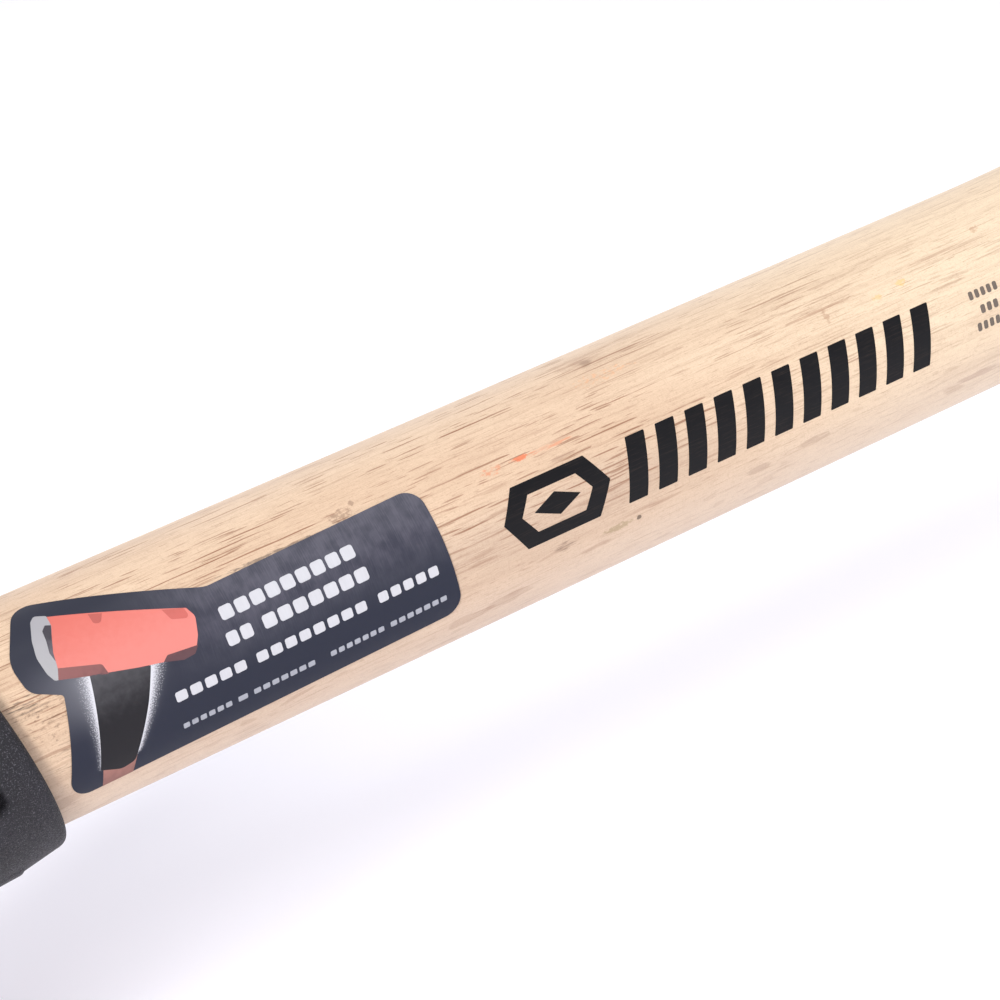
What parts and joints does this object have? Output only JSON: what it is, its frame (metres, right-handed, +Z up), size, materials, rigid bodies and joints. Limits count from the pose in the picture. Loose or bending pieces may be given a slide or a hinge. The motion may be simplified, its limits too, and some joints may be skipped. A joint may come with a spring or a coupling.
{
  "type": "hand sledge hammer",
  "caption": "Short hand sledge: octagonal steel head with two striking faces, wedged on an oval wooden handle with a rubber shock-absorbing collar below the head.",
  "frame": {"origin": "centre of the lower striking face, on which the hammer stands", "axes": "+Z up the head to the other striking face, +X from the head along the handle to the butt, Y across the thickness, with the label on the -Y cheek"},
  "size_m": [0.406, 0.047, 0.134],
  "materials": {
    "head_enamel": "glossy orange-red enamel over forged steel, striking faces and bevels ground bare",
    "handle_wood": "pale beech, sanded, thin satin varnish",
    "wedge_wood": "darker hardwood wedge, sawn end grain",
    "wedge_steel": "plain sheared steel, slightly dull",
    "collar_rubber": "black moulded rubber with a fine blasted grain",
    "label_film": "dark blue-grey printed vinyl film, semi-gloss"
  },
  "bodies": {
    "root": {"head": "head_enamel", "handle": "handle_wood", "wooden_wedge": "wedge_wood", "steel_wedge_lower": "wedge_steel", "steel_wedge_upper": "wedge_steel", "collar": "collar_rubber", "label": "label_film"}
  },
  "joints": []
}
